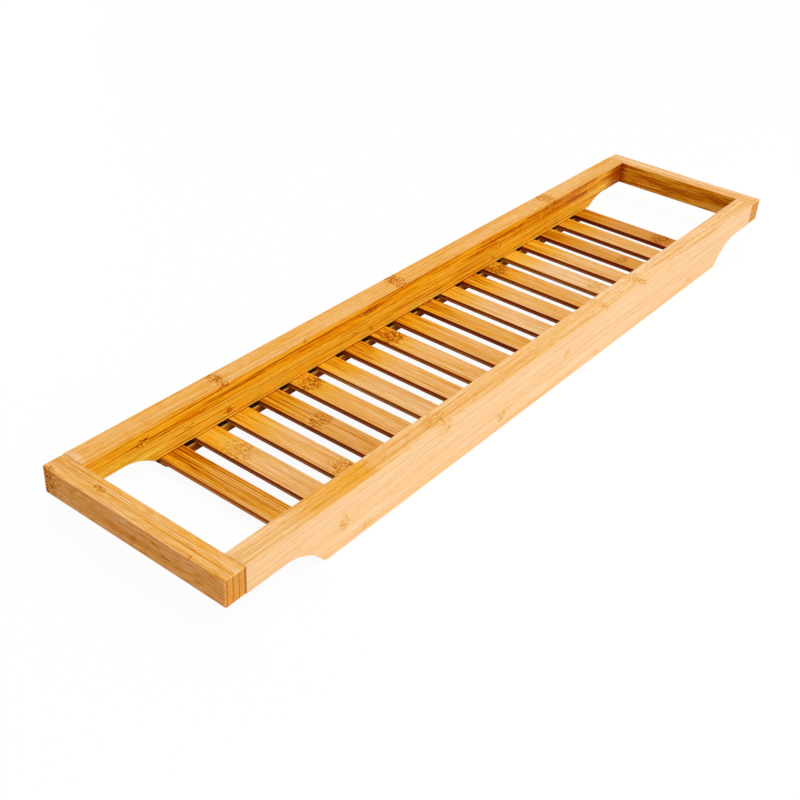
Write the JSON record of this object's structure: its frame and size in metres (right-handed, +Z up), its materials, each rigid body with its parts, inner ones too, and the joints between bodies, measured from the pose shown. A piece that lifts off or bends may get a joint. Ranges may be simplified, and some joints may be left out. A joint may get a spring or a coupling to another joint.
{
  "type": "bath rack",
  "caption": "Bamboo rack that lies across a bathtub: shallow ends rest on the rims, and a slatted floor sits in grooves between two side rails with S-curved lower edges.",
  "frame": {"origin": "under the middle of the rack, level with the undersides of the two side rails", "axes": "+X along the rack towards the right end bar, +Y across it from the front rail to the back rail, +Z up"},
  "size_m": [0.7, 0.155, 0.04],
  "materials": {
    "rail_bamboo": "laminated caramel bamboo, satin clear lacquer",
    "end_bar_bamboo": "laminated caramel bamboo, satin clear lacquer, rounded outer edges",
    "slat_bamboo": "caramel bamboo strips with their knots, satin clear lacquer",
    "dowel_beech": "raw fluted beech, glued in"
  },
  "bodies": {
    "root": {"front_rail": "rail_bamboo", "back_rail": "rail_bamboo", "left_end_bar": "end_bar_bamboo", "right_end_bar": "end_bar_bamboo", "slat_01": "slat_bamboo", "slat_02": "slat_bamboo", "slat_03": "slat_bamboo", "slat_04": "slat_bamboo", "slat_05": "slat_bamboo", "slat_06": "slat_bamboo", "slat_07": "slat_bamboo", "slat_08": "slat_bamboo", "slat_09": "slat_bamboo", "slat_10": "slat_bamboo", "slat_11": "slat_bamboo", "slat_12": "slat_bamboo", "slat_13": "slat_bamboo", "slat_14": "slat_bamboo", "slat_15": "slat_bamboo", "slat_16": "slat_bamboo", "slat_17": "slat_bamboo", "slat_18": "slat_bamboo", "dowel_left_front_lower": "dowel_beech", "dowel_left_front_upper": "dowel_beech", "dowel_left_back_lower": "dowel_beech", "dowel_left_back_upper": "dowel_beech", "dowel_right_front_lower": "dowel_beech", "dowel_right_front_upper": "dowel_beech", "dowel_right_back_lower": "dowel_beech", "dowel_right_back_upper": "dowel_beech"}
  },
  "joints": []
}
